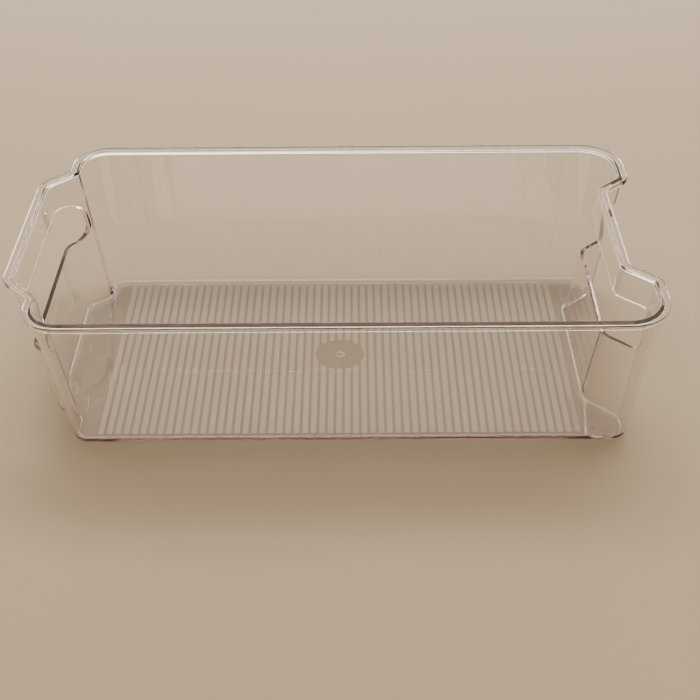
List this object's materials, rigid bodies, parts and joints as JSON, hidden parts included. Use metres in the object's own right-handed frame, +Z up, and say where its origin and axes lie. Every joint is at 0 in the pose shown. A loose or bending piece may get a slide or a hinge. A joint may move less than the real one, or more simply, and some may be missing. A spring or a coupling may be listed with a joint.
{
  "type": "refrigerator storage bin",
  "caption": "Long clear open-top tray with flared walls, a thick rim, an outward handle at one end and a recessed finger grip at the other.",
  "frame": {"origin": "centre of the bounding box in plan, on the surface that the foot bars stand on", "axes": "+X along the length towards the recessed end, +Y across the width towards the back, +Z up"},
  "size_m": [0.3692, 0.2038, 0.0953],
  "materials": {
    "clear_plastic": "clear polished styrene, slightly pink where it is seen edge-on",
    "frosted_plastic": "fine frosted texture on the floor's strips"
  },
  "bodies": {
    "root": {"floor_panel": "clear_plastic", "front_wall": "clear_plastic", "back_wall": "clear_plastic", "front_rim": "clear_plastic", "back_rim": "clear_plastic", "left_end_wall": "clear_plastic", "left_handle_band": "clear_plastic", "left_rim": "clear_plastic", "front_left_corner": "clear_plastic", "back_left_corner": "clear_plastic", "right_end_wall": "clear_plastic", "right_handle_band": "clear_plastic", "right_rim": "clear_plastic", "front_right_corner": "clear_plastic", "back_right_corner": "clear_plastic", "foot_bars": "clear_plastic", "gate_ring": "clear_plastic", "frosted_floor_strips": "frosted_plastic"}
  },
  "joints": []
}
